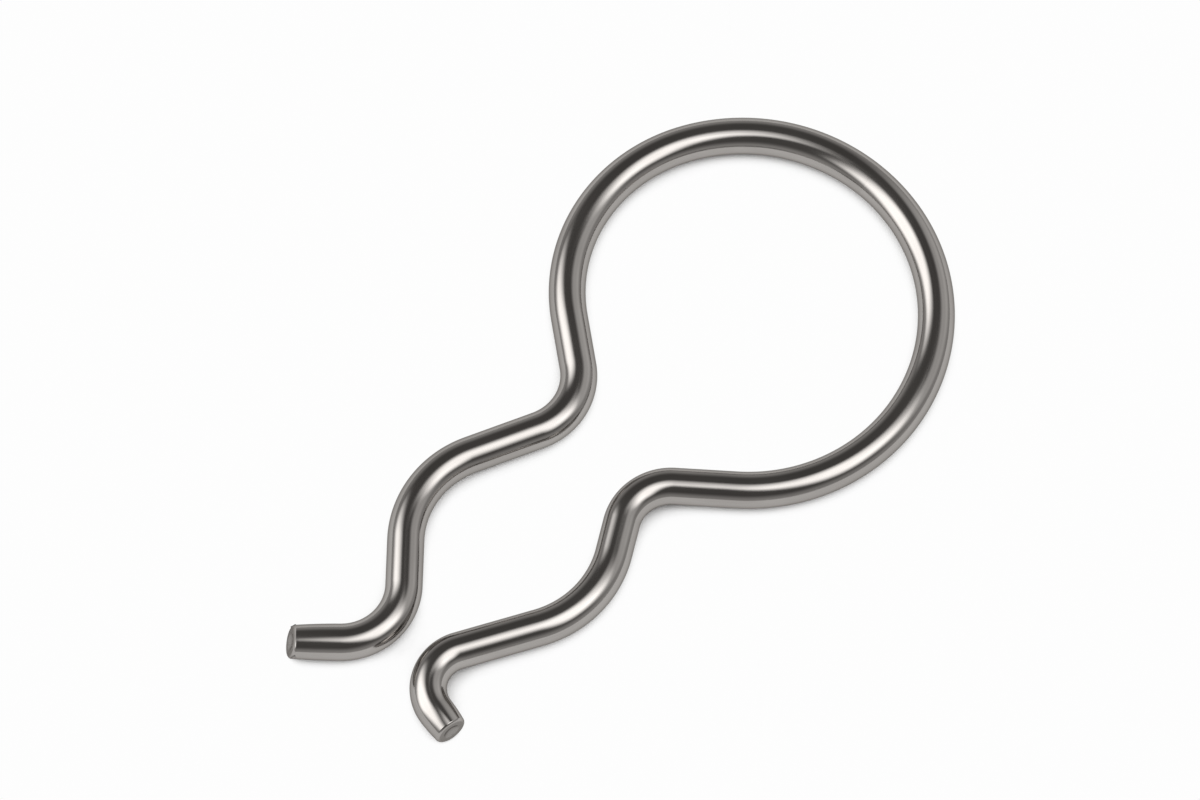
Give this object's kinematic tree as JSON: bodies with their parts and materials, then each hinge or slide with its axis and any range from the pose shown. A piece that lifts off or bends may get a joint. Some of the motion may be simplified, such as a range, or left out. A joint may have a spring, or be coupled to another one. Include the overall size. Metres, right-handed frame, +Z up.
{
  "type": "spring clip",
  "caption": "Bent spring-wire clip: a round loop narrows to a neck, opens into a rounded seat that grips a shaft, and ends in flared tails that guide it on.",
  "frame": {"origin": "middle of the loop, on the surface that the clip lies on", "axes": "+X from the middle of the loop along the clip to its mouth, +Y towards the short leg, +Z up off the surface"},
  "size_m": [0.0635, 0.0339, 0.003],
  "materials": {
    "spring_wire": "bright polished steel wire"
  },
  "bodies": {
    "root": {"spring_clip": "spring_wire"}
  },
  "joints": []
}
